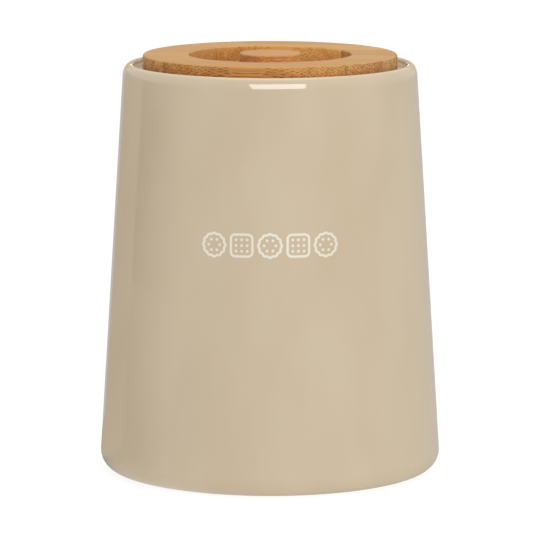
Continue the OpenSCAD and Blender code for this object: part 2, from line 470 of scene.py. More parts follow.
# %% Node group for bamboo fibre: colour, glue line and relief
WARM = srgb("b0642f")
WARM_SHIFT = (40.0, 0, 0)
WARMTH_PER_MM = 0.2
WARM_LOW = 0.45
WARM_HIGH = 0.75
WARM_SHARE = 0.3
# Paler tone of the top: sanded wood, and painted light where the top faces up
SANDED_AND_LIT_TOP = srgb("c69963")
SANDED_AND_LIT_SHARE = 0.7
GLUE_COLOUR = srgb("7d4a22")
GLUE_CORE_MM = 0.06
GLUE_EDGE_MM = 0.24
GLUE_SHARE = 0.6
HAIRS_LEAST = 0.2
HAIRS_MOST = 0.8
BAMBOO_GLOSSIEST = 0.5
BAMBOO_DULLEST = 0.68
BUNDLE_RELIEF = -0.7
HAIR_RELIEF = 0.5
fibre_colour = mix(tree, dark_share, fibre_in["Pale"], fibre_in["Dark"])
warmth = noise(tree, vector_calc(tree, "ADD", drawn, WARM_SHIFT), WARMTH_PER_MM)
fibre_colour = mix(tree, fade(tree, warmth, WARM_LOW, WARM_HIGH, 0.0, WARM_SHARE), fibre_colour, WARM)
# The top turns towards that tone, partly as sanded wood and partly as painted light
fibre_colour = mix(tree, calc(tree, "MULTIPLY", facing_up, SANDED_AND_LIT_SHARE), fibre_colour, SANDED_AND_LIT_TOP)

# The glue line lies at the nearest joint, which repeats once a strip
past_joint = calc(tree, "SUBTRACT", across, fibre_in["Joint"])
joint_distance = calc(tree, "PINGPONG", past_joint, calc(tree, "MULTIPLY", fibre_in["Pitch"], 0.5))
glue = fade(tree, joint_distance, GLUE_CORE_MM, GLUE_EDGE_MM, GLUE_SHARE, 0.0)
tree.links.new(mix(tree, glue, fibre_colour, GLUE_COLOUR), fibre_out["Colour"])
rough = fade(tree, hairs, HAIRS_LEAST, HAIRS_MOST, BAMBOO_GLOSSIEST, BAMBOO_DULLEST)
tree.links.new(rough, fibre_out["Roughness"])
relief = calc(tree, "MULTIPLY_ADD", bundle, BUNDLE_RELIEF, calc(tree, "MULTIPLY", hairs, HAIR_RELIEF))
tree.links.new(calc(tree, "SUBTRACT", relief, glue), fibre_out["Height"])
print("bamboo fibre:", len(tree.nodes), "nodes")

# %% Bamboo material
SEED_STEP = 37.3
BAMBOO_SPECULAR = 0.22
BAMBOO_RELIEF = 0.06 * MM


def bamboo(name, turn, seed, joint, pitch, low, bundle, shade_slope, pale, dark):
    """An oiled bamboo material: its fibres lie at one angle, and its joints repeat at one pitch."""
    material, tree, shader = new_material(name)
    inputs = {
        "Turn": turn, "Seed": SEED_STEP * seed, "Bundle": bundle, "Slope": shade_slope, "Low": low / MM,
        "Joint": joint / MM, "Pitch": pitch / MM, "Pale": srgb(pale), "Dark": srgb(dark),
    }
    fibre = place_group(tree, fibre_group, inputs)
    tree.links.new(fibre["Colour"], shader.inputs["Base Color"])
    tree.links.new(fibre["Roughness"], shader.inputs["Roughness"])
    shader.inputs["Specular IOR Level"].default_value = BAMBOO_SPECULAR
    bump(tree, shader, fibre["Height"], BAMBOO_RELIEF)
    return material


print("bamboo seeds lie", SEED_STEP, "mm apart")

# %% Bamboo of the strips and the knob
# Each row: distance between bundles in mm, painted side shade as a slope of tone, pale tone and dark tone
RING_LOOKS = [
    (1.05, -0.0032, "d39d5b", "83461b"),
    (1.2, 0.0, "d4a066", "824c20"),
    (1.15, 0.0, "d9ae76", "8c5b30"),
    (0.9, 0.005, "cf9d60", "966331"),
    (0.95, -0.007, "e6b66f", "ab7236"),
    (0.95, 0.0, "cf9b5c", "925a27"),
]
PLUG_LOOKS = [
    (1.2, 0.0, "c48f55", "87532a"),
    (1.0, 0.0, "cc9a60", "90592c"),
    (1.1, 0.0, "c28a50", "855026"),
    (1.2, 0.0, "ca9558", "8c562a"),
    (1.0, 0.0, "c08c52", "845028"),
]
# Its steep slope paints the knob darker on its shaded left side and paler on its lit right side
KNOB_LOOKS = (0.9, -0.016, "d99f62", "9e5b28")
PLUG_SEED = 10
KNOB_SEED = 5
KNOB_TURN = radians(14)
KNOB_PITCH = 4 * lid_radius
plug_turn = strip_turn + pi / 2
ring_finishes = [
    bamboo(f"ring_bamboo_{number}", strip_turn, number, first_joint, ring_pitch, ledge_z, *looks)
    for number, looks in enumerate(RING_LOOKS, 1)
]
plug_finishes = [
    bamboo(
        f"plug_bamboo_{number}", plug_turn, PLUG_SEED + number, plug_pitch / 2, plug_pitch, plug_bottom,
        *looks
    )
    for number, looks in enumerate(PLUG_LOOKS, 1)
]

# The knob is one block, so its joints lie far outside it
knob_finish = bamboo("knob_bamboo", KNOB_TURN, KNOB_SEED, lid_radius, KNOB_PITCH, plug_top, *KNOB_LOOKS)
print("bamboo materials:", len(ring_finishes) + len(plug_finishes) + 1)

# %% [markdown]
# ## Silicone and print
# The seal is milky silicone: soft, slightly see-through, with a dusty bloom that dulls its shine in
# patches. Real transparency would be slow to render, and a ring this thin needs no more than a little
# scattered light. The print on the wall is a cream enamel fired onto the glaze, so it has the same skin as
# the glaze around it.

# %% Silicone material
MILK = srgb("dcdad2")
MILK_BLOOMED = srgb("ceccc2")
DUST = srgb("b9b5a8")
BLOOMS_PER_MM = 0.3
DUST_PER_MM = 3.0
DUST_LOW = 0.62
DUST_HIGH = 0.75
DUST_SHARE = 0.35
DUST_RELIEF = 0.02 * MM
SILICONE_GLOSSIEST = 0.38
SILICONE_DULLEST = 0.6
SCATTER_SHARE = 0.25
SCATTER_DEPTH = (1.5 * MM, 1.4 * MM, 1.2 * MM)
silicone, tree, shader = new_material("milky_silicone")
where_mm = object_mm(tree)
bloom = noise(tree, where_mm, BLOOMS_PER_MM, detail=4.0)
dust = noise(tree, where_mm, DUST_PER_MM)
milk = mix(tree, spread(tree, bloom), MILK, MILK_BLOOMED)
dusty = mix(tree, fade(tree, dust, DUST_LOW, DUST_HIGH, 0.0, DUST_SHARE), milk, DUST)
tree.links.new(dusty, shader.inputs["Base Color"])
rough = spread(tree, bloom, SILICONE_GLOSSIEST, SILICONE_DULLEST)
tree.links.new(rough, shader.inputs["Roughness"])
shader.inputs["Subsurface Weight"].default_value = SCATTER_SHARE
shader.inputs["Subsurface Radius"].default_value = SCATTER_DEPTH
bump(tree, shader, dust, DUST_RELIEF)
print("silicone:", len(tree.nodes), "nodes")

# %% Enamel material
ENAMEL = srgb("e3dccb")
ENAMEL_PALE = srgb("e9e3d5")
ENAMEL_DULLER = 0.12
enamel, tree, shader = new_material("cream_enamel")
skin = place_group(tree, skin_group)
tone = mix(tree, spread(tree, skin["Clouds"]), ENAMEL, ENAMEL_PALE)
tree.links.new(tone, shader.inputs["Base Color"])
tree.links.new(calc(tree, "ADD", skin["Roughness"], ENAMEL_DULLER), shader.inputs["Roughness"])
bump(tree, shader, skin["Height"], GLAZE_RELIEF)
print("materials in the file:", len(bpy.data.materials))

# %% [markdown]
# ## The lathe
# Canister, lid ring, plug, knob and seal are all round, so one tree of geometry nodes turns them all. It
# takes an outline drawn in the plane of radius and height, lays a grid with one row for each point of the
# outline and one column for each step round the axis, and moves every grid point to its place. Points that
# meet on the axis or at the seam are merged, which closes the shape. Spinning an edge by hand would do too,
# but here the number of steps stays an input.

# %% Geometry nodes of the lathe
lathe, lathe_in, lathe_out = new_tree(
    "lathe", "GeometryNodeTree",
    {"Outline": "Geometry", "Steps": "Int", "Weld": "Float", "Finish": "Material"},
    {"Shape": "Geometry"},
)
tree = lathe
count = add(tree, "GeometryNodeAttributeDomainSize", {0: lathe_in["Outline"]}).outputs["Point Count"]
columns = calc(tree, "ADD", lathe_in["Steps"], 1)
grid = add(tree, "GeometryNodeMeshGrid", {"Vertices X": columns, "Vertices Y": count}).outputs["Mesh"]
index = add(tree, "GeometryNodeInputIndex").outputs[0]
row = calc(tree, "MODULO", index, count)
column = calc(tree, "FLOOR", calc(tree, "DIVIDE", index, count))
angle = calc(tree, "MULTIPLY", calc(tree, "DIVIDE", column, lathe_in["Steps"]), 2 * pi)
place = add(tree, "GeometryNodeInputPosition").outputs[0]
outline_point = add(
    tree, "GeometryNodeSampleIndex", {"Geometry": lathe_in["Outline"], "Value": place, "Index": row},
    data_type="FLOAT_VECTOR",
).outputs[0]
radius, _, level = split(tree, outline_point)
swung = combine(
    tree,
    calc(tree, "MULTIPLY", radius, calc(tree, "COSINE", angle)),
    calc(tree, "MULTIPLY", radius, calc(tree, "SINE", angle)),
    level,
)
shape = add(tree, "GeometryNodeSetPosition", {"Geometry": grid, "Position": swung}).outputs[0]
weld = {"Geometry": shape, "Distance": lathe_in["Weld"]}
shape = add(tree, "GeometryNodeMergeByDistance", weld).outputs[0]
shape = add(tree, "GeometryNodeSetShadeSmooth", {"Geometry": shape}).outputs[0]
shape = add(tree, "GeometryNodeRealizeInstances", {"Geometry": shape}).outputs[0]
dress = {"Geometry": shape, "Material": lathe_in["Finish"]}
tree.links.new(add(tree, "GeometryNodeSetMaterial", dress).outputs[0], lathe_out["Shape"])
print("lathe:", len(tree.nodes), "nodes")

# %% Helpers for outlines
ARC_STEPS = 16
ROW_SPACING = 6 * MM
SUPPORT = 0.25 * MM
SHORTEST_FLAT = 5 * SUPPORT


def point(radius, level):
    """A point of an outline."""
    return Vector((radius, level))


def arc(centre, radius, start, end):
    """Points of an arc between two angles in degrees."""
    angles = [radians(start + (end - start) * step / ARC_STEPS) for step in range(ARC_STEPS + 1)]
    return [centre + radius * point(cos(turn), sin(turn)) for turn in angles]


def bend(first, corner, last):
    """Points of a quarter ellipse that rounds a corner between two points on its sides."""
    centre = first + last - corner
    angles = [pi / 2 * step / ARC_STEPS for step in range(ARC_STEPS + 1)]
    return [centre + (first - centre) * cos(turn) + (last - centre) * sin(turn) for turn in angles]


def with_rows(outline):
    """Adds points along straight stretches.

    A close point at each end keeps the shading of the roundings off the flats.
    """
    filled = [outline[0]]
    for first, last in zip(outline, outline[1:]):
        length = (last - first).length
        if length > SHORTEST_FLAT:
            inner = length - 2 * SUPPORT
            rows = ceil(inner / ROW_SPACING)
            places = [SUPPORT + inner * row / rows for row in range(rows + 1)]
            filled += [first.lerp(last, place / length) for place in places]
        filled.append(last)
    return filled


print("arcs have", ARC_STEPS, "steps")

# %% Helpers for pieces
TURN_STEPS = 240
WELD = 0.001 * MM
CREASE = radians(32)


def grow(name, tree, points, inputs):
    """Runs a geometry node tree on a list of points and keeps its result as a plain mesh."""
    mesh = bpy.data.meshes.new(name)
    mesh.from_pydata(points, [], [])
    piece = bpy.data.objects.new(name, mesh)
    scene.collection.objects.link(piece)
    modifier = piece.modifiers.new(tree.name, "NODES")
    modifier.node_group = tree
    for item in tree.interface.items_tree:
        if item.in_out == "INPUT" and item.name in inputs:
            modifier[item.identifier] = inputs[item.name]
    evaluated = piece.evaluated_get(bpy.context.evaluated_depsgraph_get())
    shape = bpy.data.meshes.new_from_object(evaluated)
    piece.modifiers.clear()
    piece.data = shape
    bpy.data.meshes.remove(mesh)
    shape.name = name
    shape.set_sharp_from_angle(angle=CREASE)
    return piece


def turned(name, outline, finish):
    """A round piece from its outline, which runs outwards below, then up, then inwards above."""
    points = [(spot.x, 0, spot.y) for spot in with_rows(outline)]
    piece = grow(name, lathe, points, {"Steps": TURN_STEPS, "Weld": WELD, "Finish": finish})
    print(f"{name}: {len(piece.data.polygons)} faces, {piece.dimensions.x / MM:.2f} mm wide")
    return piece


def settle(piece, body, slot, *nodes):
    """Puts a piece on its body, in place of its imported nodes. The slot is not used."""
    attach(piece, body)
    if nodes:
        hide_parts(*nodes)


print("turned pieces have", TURN_STEPS, "steps")

# %% [markdown]
# ## Canister
# Slip is poured into a plaster mould, so the wall has an even thickness, every corner is round, and the
# outside is a plain cone. The rim turns over in a long soft curve, steps down into the gallery where the
# lid lies, and ends in the throat that the seal touches. A cylinder with modifiers would come close, but an
# outline keeps every rounding a number, as on a drawing. It runs from the middle of the underside to the
# middle of the floor.


# %% Canister outline
def outer_radius(level):
    """Radius of the wall's outer line at a height."""
    return foot_radius - taper * level


def inset_radius(level, depth):
    """Radius of a line that lies a distance inside the outer line."""
    return outer_radius(level) - depth / cos(wall_lean)


lean = degrees(wall_lean)
base_centre = point(inset_radius(base_rounding, base_rounding), base_rounding)
foot_inner = base_centre.x - foot_ring_width
bend_z = rim_height - rim_rounding_height
outside = [
    point(0, foot_hollow),
    point(foot_inner - foot_hollow, foot_hollow),
    point(foot_inner, 0),
    *arc(base_centre, base_rounding, -90, lean),
    *bend(
        point(outer_radius(bend_z), bend_z),
        point(rim_radius, rim_height),
        point(rim_radius - rim_rounding_width, rim_height),
    ),
]
rim_centre = point(gallery_radius + rim_inner_rounding, rim_height - rim_inner_rounding)
gallery_centre = point(gallery_radius - gallery_rounding, ledge_z + gallery_rounding)
throat_edge = throat_radius + throat_rounding
mouth = [
    *arc(rim_centre, rim_inner_rounding, 90, 180),
    *arc(gallery_centre, gallery_rounding, 0, -90),
    *arc(point(throat_edge, ledge_z - throat_rounding), throat_rounding, 90, 180),
    *arc(point(throat_edge, shelf_z + throat_rounding), throat_rounding, 180, 270),
]
shelf_level = shelf_z - shelf_rounding
floor_level = floor_z + floor_rounding
shelf_centre = point(inset_radius(shelf_level, wall_thickness + shelf_rounding), shelf_level)
floor_centre = point(inset_radius(floor_level, wall_thickness + floor_rounding), floor_level)
inside = [
    *arc(shelf_centre, shelf_rounding, 90, lean),
    *arc(floor_centre, floor_rounding, lean, -90),
    point(0, floor_z),
]
print("canister outline:", len(outside + mouth + inside), "points")

# %% Canister
canister = turned("canister_body", outside + mouth + inside, glaze)
settle(canister, "canister", "glaze", "canister")

# %% [markdown]
# ## Lid ring
# A board is glued up from bamboo strips, and the ring is turned from the board. Strips that were shaped one
# by one would leave steps at their joints. So the blank is turned first, as one round piece, and then sawn
# along its joint lines: every strip gets true joint faces and its own bamboo. The recess cuts the two
# middle strips in two.

# %% Saw for the strips
SAW_TOLERANCE = WELD / 10


def sawn(blank, name, turn, low, high, finish):
    """A copy of a blank, kept between two joint lines; an end strip has only one."""
    across = Vector((-sin(turn), cos(turn), 0))
    strip = bmesh.new()
    strip.from_mesh(blank.data)
    for line, outwards in ((low, -across), (high, across)):
        if line is None:
            continue
        whole = strip.verts[:] + strip.edges[:] + strip.faces[:]
        cut = bmesh.ops.bisect_plane(
            strip, geom=whole, dist=SAW_TOLERANCE, plane_co=across * line, plane_no=outwards,
            clear_outer=True,
        )
        rim = [item for item in cut["geom_cut"] if isinstance(item, bmesh.types.BMEdge)]
        bmesh.ops.holes_fill(strip, edges=rim, sides=0)
    bmesh.ops.remove_doubles(strip, verts=strip.verts[:], dist=WELD)
    bmesh.ops.recalc_face_normals(strip, faces=strip.faces[:])
    mesh = bpy.data.meshes.new(name)
    strip.to_mesh(mesh)
    strip.free()
    mesh.materials.append(finish)
    mesh.set_sharp_from_angle(angle=CREASE)
    piece = bpy.data.objects.new(name, mesh)
    scene.collection.objects.link(piece)
    return piece


def saw_up(blank, nodes, prefix, slot, turn, joints, finishes):
    """Saws a blank into its strips, settles each in place of its node, and throws the blank away."""
    lows = [None, *joints]
    highs = [*joints, None]
    for number, (node, low, high, finish) in enumerate(zip(nodes, lows, highs, finishes), 1):
        piece = sawn(blank, f"{prefix}_{number}", turn, low, high, finish)
        settle(piece, "lid", slot, node)
        print(f"{piece.name}: {len(piece.data.polygons)} faces")
    bpy.data.objects.remove(blank)


print("saw ready")

# %% Lid ring
round_level = ring_top - ring_rounding
ring_outline = [
    point(recess_radius, ledge_z),
    point(lid_radius, ledge_z),
    *arc(point(lid_radius - ring_rounding, round_level), ring_rounding, 0, 90),
    *arc(point(recess_radius + ring_rounding, round_level), ring_rounding, 90, 180),
    point(recess_radius, ledge_z),
]
ring_blank = turned("ring_blank", ring_outline, ring_finishes[0])
ring_joints = [first_joint + ring_pitch * number for number in range(len(ring_nodes) - 1)]
saw_up(ring_blank, ring_nodes, "ring_strip", "ring_bamboo", strip_turn, ring_joints, ring_finishes)

# %% [markdown]
# ## Lid plug
# The lower ply is made in the same way, with its strips laid across those of the ring, so that neither ply
# can warp the other. It has a groove for the seal and a bore in its middle strip for the tenon of the knob.

# %% Lid plug
bore_radius = tenon_radius + glue_room
bore_bottom = tenon_bottom - glue_room
plug_outline = [
    point(0, plug_bottom),
    point(plug_radius - plug_bevel, plug_bottom),
    point(plug_radius, plug_bottom + plug_bevel),
    point(plug_radius, seal_bottom),
    point(groove_radius, seal_bottom),
    point(groove_radius, seal_top),
    point(plug_radius, seal_top),
    point(plug_radius, plug_top),
    point(bore_radius, plug_top),
    point(bore_radius, bore_bottom),
    point(0, bore_bottom),
]
plug_blank = turned("plug_blank", plug_outline, plug_finishes[0])
plug_joints = [plug_pitch * number - plug_radius for number in range(1, len(plug_nodes))]
saw_up(plug_blank, plug_nodes, "plug_strip", "plug_bamboo", plug_turn, plug_joints, plug_finishes)

# %% [markdown]
# ## Knob and seal
# The knob is turned from one block, with the tenon below it. The seal is moulded with two lips that point
# at the throat, and their tips are rounded, as moulded silicone is. Both are round, so the lathe makes
# them too.

# %% Knob
knob_outline = [
    point(0, tenon_bottom),
    point(tenon_radius, tenon_bottom),
    point(tenon_radius, plug_top),
    point(knob_radius, plug_top),
    *arc(point(knob_radius - knob_rounding, knob_top - knob_rounding), knob_rounding, 0, 90),
    point(0, knob_top),
]
knob = turned("knob", knob_outline, knob_finish)
settle(knob, "lid", "knob_bamboo", "lid_knob")

# %% Seal
# The lower side of each lip slopes up to its tip
TIP_START = -75
TIP_END = 90
seal_inner = groove_radius + seal_room
lip_gap = (seal_top - seal_bottom - 2 * seal_lip) / 3
seal_outline = [point(seal_inner, seal_bottom), point(plug_radius, seal_bottom)]
for lip_bottom in (seal_bottom + lip_gap, seal_bottom + 2 * lip_gap + seal_lip):
    lip_top = lip_bottom + seal_lip
    tip_centre = point(seal_radius - seal_tip_rounding, lip_top - seal_tip_rounding)
    seal_outline += [
        point(plug_radius, lip_bottom),
        *arc(tip_centre, seal_tip_rounding, TIP_START, TIP_END),
        point(plug_radius, lip_top),
    ]
seal_outline += [point(plug_radius, seal_top), point(seal_inner, seal_top), point(seal_inner, seal_bottom)]
seal = turned("seal", seal_outline, silicone)
settle(seal, "lid", "seal_silicone", "lid_seal")

# %% [markdown]
# ## Print
# A row of five plain biscuits, round and square in turn, marks what the canister holds. Each is drawn flat,
# as a thin outline with docking holes, and the row is then wrapped onto the cone. Geometry nodes suit this:
# the biscuits repeat, and the wrap is a rule that moves every point by its place along the row.

# %% Geometry nodes of the print: outlines and holes
EDGE_POINTS = 144
HOLE_SIDES = 20
biscuits, biscuits_in, biscuits_out = new_tree(
    "biscuit_row", "GeometryNodeTree",
    {
        "Row": "Geometry", "Size": "Float", "Line": "Float", "Hole": "Float", "Film": "Float",
        "Level": "Float", "Foot Radius": "Float", "Taper": "Float", "Finish": "Material",
    },
    {"Print": "Geometry"},
)
tree = biscuits
half = calc(tree, "MULTIPLY", biscuits_in["Size"], 0.5)
place = add(tree, "GeometryNodeInputPosition").outputs[0]
band_size = {"Width": biscuits_in["Line"], "Height": biscuits_in["Film"]}
band = add(tree, "GeometryNodeCurvePrimitiveQuadrilateral", band_size).outputs[0]


def outline_band(curve):
    """A flat band along a closed curve."""
    level_curve = add(biscuits, "GeometryNodeSetCurveNormal", {"Curve": curve}, mode="Z_UP").outputs[0]
    sweep = {"Curve": level_curve, "Profile Curve": band}
    return add(biscuits, "GeometryNodeCurveToMesh", sweep).outputs[0]


def with_holes(edge, spots):
    """A biscuit: its edge and a round docking hole at each spot."""
    hole_radius = calc(biscuits, "MULTIPLY", biscuits_in["Hole"], 0.5)
    hole_size = {"Vertices": HOLE_SIDES, "Radius": hole_radius, "Depth": biscuits_in["Film"]}
    hole = add(biscuits, "GeometryNodeMeshCylinder", hole_size).outputs["Mesh"]
    holes = add(biscuits, "GeometryNodeInstanceOnPoints", {"Points": spots, "Instance": hole}).outputs[0]
    joined = add(biscuits, "GeometryNodeJoinGeometry")
    biscuits.links.new(holes, joined.inputs[0])
    biscuits.links.new(edge, joined.inputs[0])
    return joined.outputs[0]


print("print tree:", len(tree.nodes), "nodes so far")

# %% Geometry nodes of the print: round biscuit
# It has a scalloped edge and a ring of holes
SCALLOPS = 12
SCALLOP_DEPTH = 0.045
RING_HOLES = 6
RING_SHARE = 0.5
circle_size = {"Resolution": EDGE_POINTS, "Radius": half}
circle = add(tree, "GeometryNodeCurvePrimitiveCircle", circle_size).outputs[0]
x, y, _ = split(tree, place)
wave = calc(tree, "COSINE", calc(tree, "MULTIPLY", calc(tree, "ARCTAN2", y, x), SCALLOPS))
pinch = calc(tree, "MULTIPLY_ADD", wave, SCALLOP_DEPTH, 1 - SCALLOP_DEPTH)
pinched = add(tree, "ShaderNodeVectorMath", {0: place, "Scale": pinch}, operation="SCALE").outputs[0]
scalloped = add(tree, "GeometryNodeSetPosition", {"Geometry": circle, "Position": pinched}).outputs[0]
hole_ring = {"Vertices": RING_HOLES, "Radius": calc(tree, "MULTIPLY", half, RING_SHARE)}
ring_spots = add(tree, "GeometryNodeMeshCircle", hole_ring).outputs[0]
round_biscuit = with_holes(outline_band(scalloped), ring_spots)
print("round biscuit:", SCALLOPS, "scallops and", RING_HOLES, "holes")

# %% Geometry nodes of the print: square biscuit
# It has rounded corners and rows of holes
SQUARE_SHARE = 0.92
CORNER_SHARE = 0.2
CORNER_STEPS = 10
HOLES_A_SIDE = 3
HOLE_GRID_SHARE = 0.52
side = calc(tree, "MULTIPLY", biscuits_in["Size"], SQUARE_SHARE)
square = add(tree, "GeometryNodeCurvePrimitiveQuadrilateral", {"Width": side, "Height": side}).outputs[0]
corner_radius = calc(tree, "MULTIPLY", side, CORNER_SHARE)
rounding = {"Curve": square, "Count": CORNER_STEPS, "Radius": corner_radius}
rounded = add(tree, "GeometryNodeFilletCurve", rounding, mode="POLY").outputs[0]
even = add(tree, "GeometryNodeResampleCurve", {"Curve": rounded, "Count": EDGE_POINTS}).outputs[0]
grid_side = calc(tree, "MULTIPLY", side, HOLE_GRID_SHARE)
hole_grid = {
    "Size X": grid_side, "Size Y": grid_side, "Vertices X": HOLES_A_SIDE, "Vertices Y": HOLES_A_SIDE,
}
grid_spots = add(tree, "GeometryNodeMeshGrid", hole_grid).outputs["Mesh"]
square_biscuit = with_holes(outline_band(even), grid_spots)
print("square biscuit:", HOLES_A_SIDE, "rows of", HOLES_A_SIDE, "holes")

# %% Geometry nodes of the print: row and wrap
index = add(tree, "GeometryNodeInputIndex").outputs[0]
is_square = calc(tree, "MODULO", index, 2)
is_round = calc(tree, "SUBTRACT", 1, is_square)
row = add(tree, "GeometryNodeJoinGeometry")
for biscuit, chosen in ((round_biscuit, is_round), (square_biscuit, is_square)):
    inputs = {"Points": biscuits_in["Row"], "Instance": biscuit, "Selection": chosen}
    tree.links.new(add(tree, "GeometryNodeInstanceOnPoints", inputs).outputs[0], row.inputs[0])
flat_row = add(tree, "GeometryNodeRealizeInstances", {"Geometry": row.outputs[0]}).outputs[0]

# Along the row becomes round the cone, and up the row becomes up the wall
x, y, depth = split(tree, place)
level = calc(tree, "ADD", biscuits_in["Level"], y)
narrowing = calc(tree, "MULTIPLY", biscuits_in["Taper"], level)
wall = calc(tree, "SUBTRACT", biscuits_in["Foot Radius"], narrowing)
angle = calc(tree, "DIVIDE", x, wall)
reach = calc(tree, "ADD", wall, depth)
towards_front = calc(tree, "MULTIPLY", reach, calc(tree, "COSINE", angle))
wrapped_place = combine(
    tree,
    calc(tree, "MULTIPLY", reach, calc(tree, "SINE", angle)),
    calc(tree, "MULTIPLY", towards_front, -1),
    level,
)
wrapped = add(tree, "GeometryNodeSetPosition", {"Geometry": flat_row, "Position": wrapped_place}).outputs[0]
dress = {"Geometry": wrapped, "Material": biscuits_in["Finish"]}
tree.links.new(add(tree, "GeometryNodeSetMaterial", dress).outputs[0], biscuits_out["Print"])
print("print tree:", len(tree.nodes), "nodes")

# %% Print
BISCUIT_COUNT = 5
BISCUIT_SPACING = 13.2 * MM
middle = (BISCUIT_COUNT - 1) / 2
row_points = [((number - middle) * BISCUIT_SPACING, 0, 0) for number in range(BISCUIT_COUNT)]
print_sizes = {
    "Size": 11 * MM,
    "Line": 1.1 * MM,
    "Hole": 1.3 * MM,
    "Film": 0.12 * MM,
    "Level": 118 * MM,
    "Foot Radius": foot_radius,
    "Taper": taper,
    "Finish": enamel,
}
printed = grow("biscuit_print", biscuits, row_points, print_sizes)
settle(printed, "canister", "glaze")
print(f"print: {len(printed.data.polygons)} faces, {printed.dimensions.x / MM:.1f} mm wide")

# %% [markdown]
# ## Floor and light
# The canister stands on a white light table, under soft light from all round. A stronger lamp would whiten
# the floor too, but it would wash out the glaze. So the floor takes the canister's shadow and also gives
# light: a little more close round the foot, because the base is lit as evenly as the middle of the wall,
# and up to white where the camera looks at it. One softbox in front on the right and one overhead model the
# shape. A third one does nothing but glint on the rim, so it lights the glazed pieces alone.

# %% Floor
WHITE = (1, 1, 1, 1)
FLOOR_REACH = 12.0
FLOOR_SHADE = 0.2
FLOOR_ROUGHNESS = 0.9
FLOOR_GLOW = 0.5
FLOOR_SPOT_GLOW = 0.75
FLOOR_SPOT_RADIUS = 0.1
FLOOR_GLOW_MIRRORED = 0.34
FLOOR_GLOW_SEEN = 0.85


def stage_piece(name, corners, faces, finish):
    """A piece of the studio, which isn't part of the canister."""
    mesh = bpy.data.meshes.new(name)
    mesh.from_pydata(corners, [], faces)
    mesh.materials.append(finish)
    piece = bpy.data.objects.new(name, mesh)
    scene.collection.objects.link(piece)
    return piece


floor_finish, tree, shader = new_material("white_sweep")
rays = add(tree, "ShaderNodeLightPath").outputs
where = add(tree, "ShaderNodeTexCoord").outputs["Object"]
from_axis = add(tree, "ShaderNodeVectorMath", {0: where}, operation="LENGTH").outputs["Value"]
floor_glow = fade(tree, from_axis, foot_radius, FLOOR_SPOT_RADIUS, FLOOR_SPOT_GLOW, FLOOR_GLOW)
floor_glow = fade(tree, rays["Is Glossy Ray"], 0, 1, floor_glow, FLOOR_GLOW_MIRRORED)
floor_glow = fade(tree, rays["Is Camera Ray"], 0, 1, floor_glow, FLOOR_GLOW_SEEN)
tree.links.new(floor_glow, shader.inputs["Emission Strength"])
shader.inputs["Base Color"].default_value = (FLOOR_SHADE, FLOOR_SHADE, FLOOR_SHADE, 1)
shader.inputs["Emission Color"].default_value = WHITE
shader.inputs["Roughness"].default_value = FLOOR_ROUGHNESS
shader.inputs["Specular IOR Level"].default_value = 0.0
floor_corners = [(x * FLOOR_REACH, y * FLOOR_REACH, 0) for x, y in ((-1, -1), (1, -1), (1, 1), (-1, 1))]
stage_piece("floor", floor_corners, [(0, 1, 2, 3)], floor_finish)
print("the floor reaches", FLOOR_REACH, "m each way")

# %% World
WORLD_LIGHT = 0.9
WORLD_MIRRORED = 0.7
world = bpy.data.worlds.new("studio")
scene.world = world
world.use_nodes = True
tree = world.node_tree
rays = add(tree, "ShaderNodeLightPath").outputs
bounced = calc(tree, "MAXIMUM", rays["Is Glossy Ray"], rays["Is Transmission Ray"])
strength = fade(tree, bounced, 0, 1, WORLD_LIGHT, WORLD_MIRRORED)
strength = calc(tree, "MAXIMUM", strength, rays["Is Camera Ray"])
backdrop = tree.nodes["Background"]
backdrop.inputs["Color"].default_value = WHITE
tree.links.new(strength, backdrop.inputs["Strength"])
print("light from all round:", WORLD_LIGHT, "and in reflections:", WORLD_MIRRORED)

# %% Lamps
LAMP_AIM = Vector((0, 0, 0.15))


def softbox(name, place, width, height, power, lights=True, mirrored=True):
    """A rectangular lamp at a place, turned to the canister, which the camera doesn't see."""
    lamp = bpy.data.lights.new(name, "AREA")
    lamp.shape = "RECTANGLE"
    lamp.size = width
    lamp.size_y = height
    lamp.energy = power
    holder = bpy.data.objects.new(name, lamp)
    holder.location = place
    holder.rotation_euler = (LAMP_AIM - Vector(place)).to_track_quat("-Z", "Y").to_euler()
    holder.visible_camera = False
    holder.visible_diffuse = lights
    holder.visible_glossy = mirrored
    scene.collection.objects.link(holder)
    return holder


softbox("key", place=(0.7, -1.35, 0.6), width=1.1, height=1.1, power=6.8, mirrored=False)
softbox("overhead", place=(0, 0.3, 1.7), width=1.2, height=1.2, power=4)
rim_glint = softbox(
    "rim_glint", place=(0.162, -1.44, 0.83), width=1.17, height=0.82, power=18, lights=False
)

# The glint falls on the glaze alone: the dull bamboo would only turn pale in it
glazed = bpy.data.collections.new("glazed_pieces")
for piece in (canister, printed):
    glazed.objects.link(piece)
rim_glint.light_linking.receiver_collection = glazed
print("lamps:", len(bpy.data.lights))

# %% [markdown]
# ## What the glaze mirrors
# A studio isn't white all round, and glaze shows that. On its left the canister mirrors a dark flag above a
# grey board, and past the flag's end the warm room. A beige wall behind keeps the crest of the rim from
# turning white, and two bright cards in front of that wall glint on the rim's inner edge. A shield on the
# crest keeps the front lamp's glint off the ledge behind it. All of these could be painted into the glaze,
# but then they would turn with it. So they stand in the studio, as bare surfaces that only reflections see.

# %% Helpers for what the glaze mirrors
BLACK = (0, 0, 0, 1)
PANELS = 48


def mirrored_piece(name, corners, faces, colour=WHITE):
    """A glowing studio piece that only reflections see; returns its tree and its shader."""
    finish, tree, shader = new_material(name)
    shader.inputs["Base Color"].default_value = BLACK
    shader.inputs["Specular IOR Level"].default_value = 0.0
    shader.inputs["Emission Color"].default_value = colour
    shader.inputs["Emission Strength"].default_value = 1
    piece = stage_piece(name, corners, faces, finish)
    piece.visible_camera = False
    piece.visible_diffuse = False
    piece.visible_shadow = False
    return tree, shader


